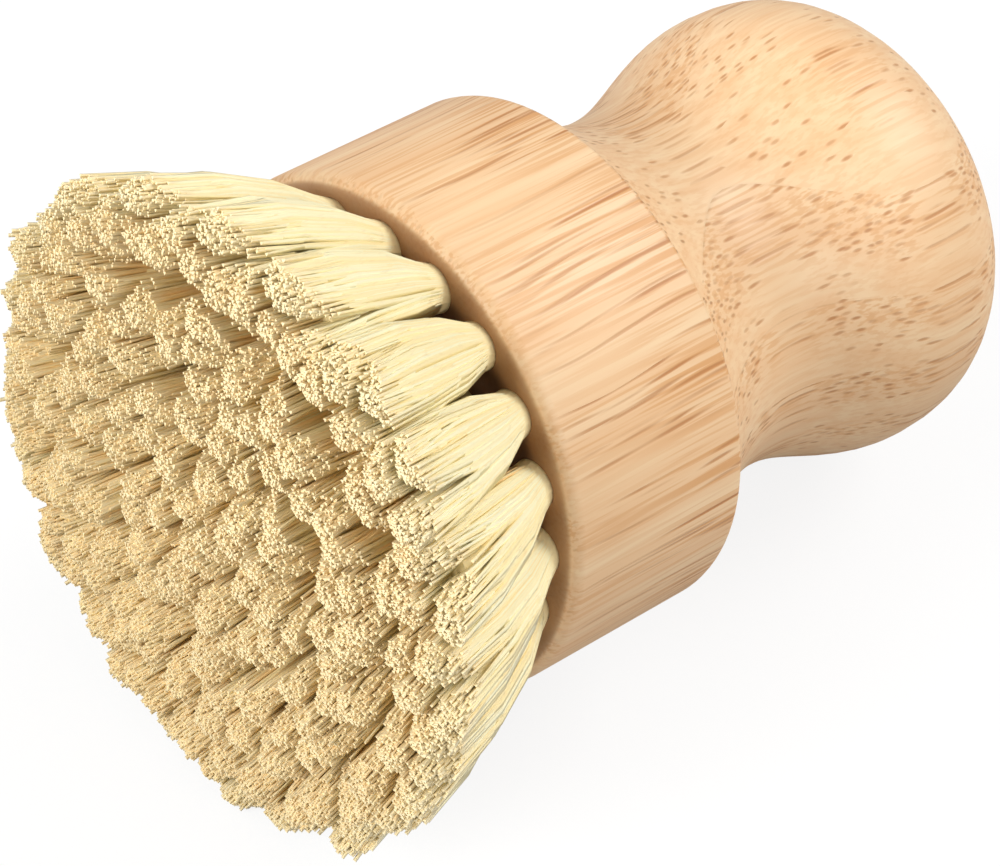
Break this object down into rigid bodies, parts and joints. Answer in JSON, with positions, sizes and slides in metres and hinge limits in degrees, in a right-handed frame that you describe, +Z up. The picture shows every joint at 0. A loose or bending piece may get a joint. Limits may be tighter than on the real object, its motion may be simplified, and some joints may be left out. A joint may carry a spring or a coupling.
{
  "type": "palm brush",
  "caption": "Round palm brush with a turned bamboo block, neck and knob, and splayed plant-fibre tufts folded over wire anchors in drilled holes.",
  "frame": {"origin": "middle of the bounding box's underside: the surface that the brush lies on is z = 0", "axes": "+Z up; the knob points towards +X and leans 7.49 degrees down to the surface; +Y completes a right-handed frame"},
  "size_m": [0.095, 0.0673, 0.0668],
  "materials": {
    "bamboo": "satin",
    "fibre": "matte",
    "wire": "satin"
  },
  "bodies": {
    "root": {"handle": "bamboo", "anchors": "wire", "outer_tuft_01": "fibre", "outer_tuft_02": "fibre", "outer_tuft_03": "fibre", "outer_tuft_04": "fibre", "outer_tuft_05": "fibre", "outer_tuft_06": "fibre", "outer_tuft_07": "fibre", "outer_tuft_08": "fibre", "outer_tuft_09": "fibre", "outer_tuft_10": "fibre", "outer_tuft_11": "fibre", "outer_tuft_12": "fibre", "outer_tuft_13": "fibre", "outer_tuft_14": "fibre", "outer_tuft_15": "fibre", "outer_tuft_16": "fibre", "outer_tuft_17": "fibre", "outer_tuft_18": "fibre", "outer_tuft_19": "fibre", "outer_tuft_20": "fibre", "middle_tuft_01": "fibre", "middle_tuft_02": "fibre", "middle_tuft_03": "fibre", "middle_tuft_04": "fibre", "middle_tuft_05": "fibre", "middle_tuft_06": "fibre", "middle_tuft_07": "fibre", "middle_tuft_08": "fibre", "middle_tuft_09": "fibre", "middle_tuft_10": "fibre", "middle_tuft_11": "fibre", "middle_tuft_12": "fibre", "middle_tuft_13": "fibre", "middle_tuft_14": "fibre", "inner_tuft_01": "fibre", "inner_tuft_02": "fibre", "inner_tuft_03": "fibre", "inner_tuft_04": "fibre", "inner_tuft_05": "fibre", "inner_tuft_06": "fibre", "inner_tuft_07": "fibre", "centre_tuft": "fibre"}
  },
  "joints": []
}
